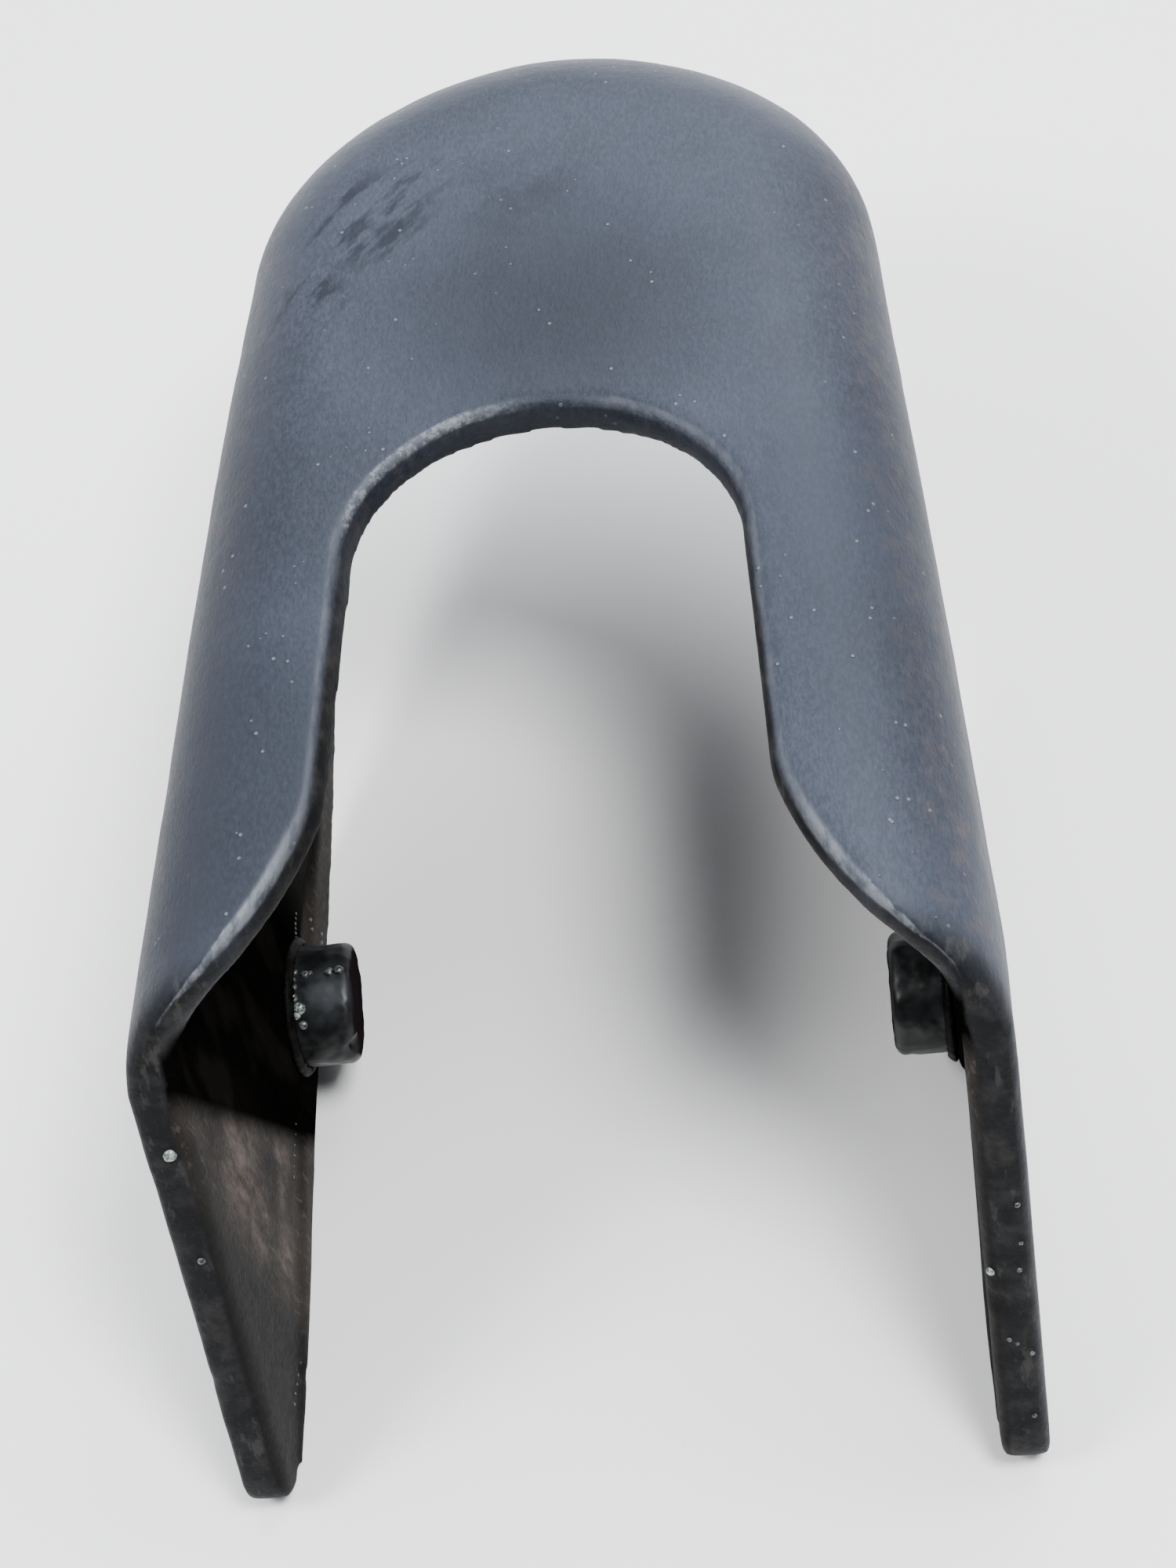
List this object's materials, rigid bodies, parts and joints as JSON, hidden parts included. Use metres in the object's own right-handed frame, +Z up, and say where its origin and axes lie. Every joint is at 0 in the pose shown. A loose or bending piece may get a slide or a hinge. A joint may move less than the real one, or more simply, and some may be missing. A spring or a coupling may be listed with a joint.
{
  "type": "adapter wear cap",
  "caption": "U-shaped cast shell with side cheeks and inward lugs that caps and shields the adapter of an excavator bucket tooth.",
  "frame": {"origin": "centre of the bounding box at the plane of the cheeks' lower edges", "axes": "+X across the cap, +Y towards the rounded nose, +Z up, out of the top plate"},
  "size_m": [0.15, 0.2684, 0.12],
  "materials": {
    "cast_steel": "satin black paint over cast skin",
    "lug_steel": "glossy black paint",
    "weld_metal": "painted weld bead"
  },
  "bodies": {
    "root": {"cap_casting": "cast_steel", "left_lug": "lug_steel", "right_lug": "lug_steel", "left_lug_weld": "weld_metal", "right_lug_weld": "weld_metal"}
  },
  "joints": []
}
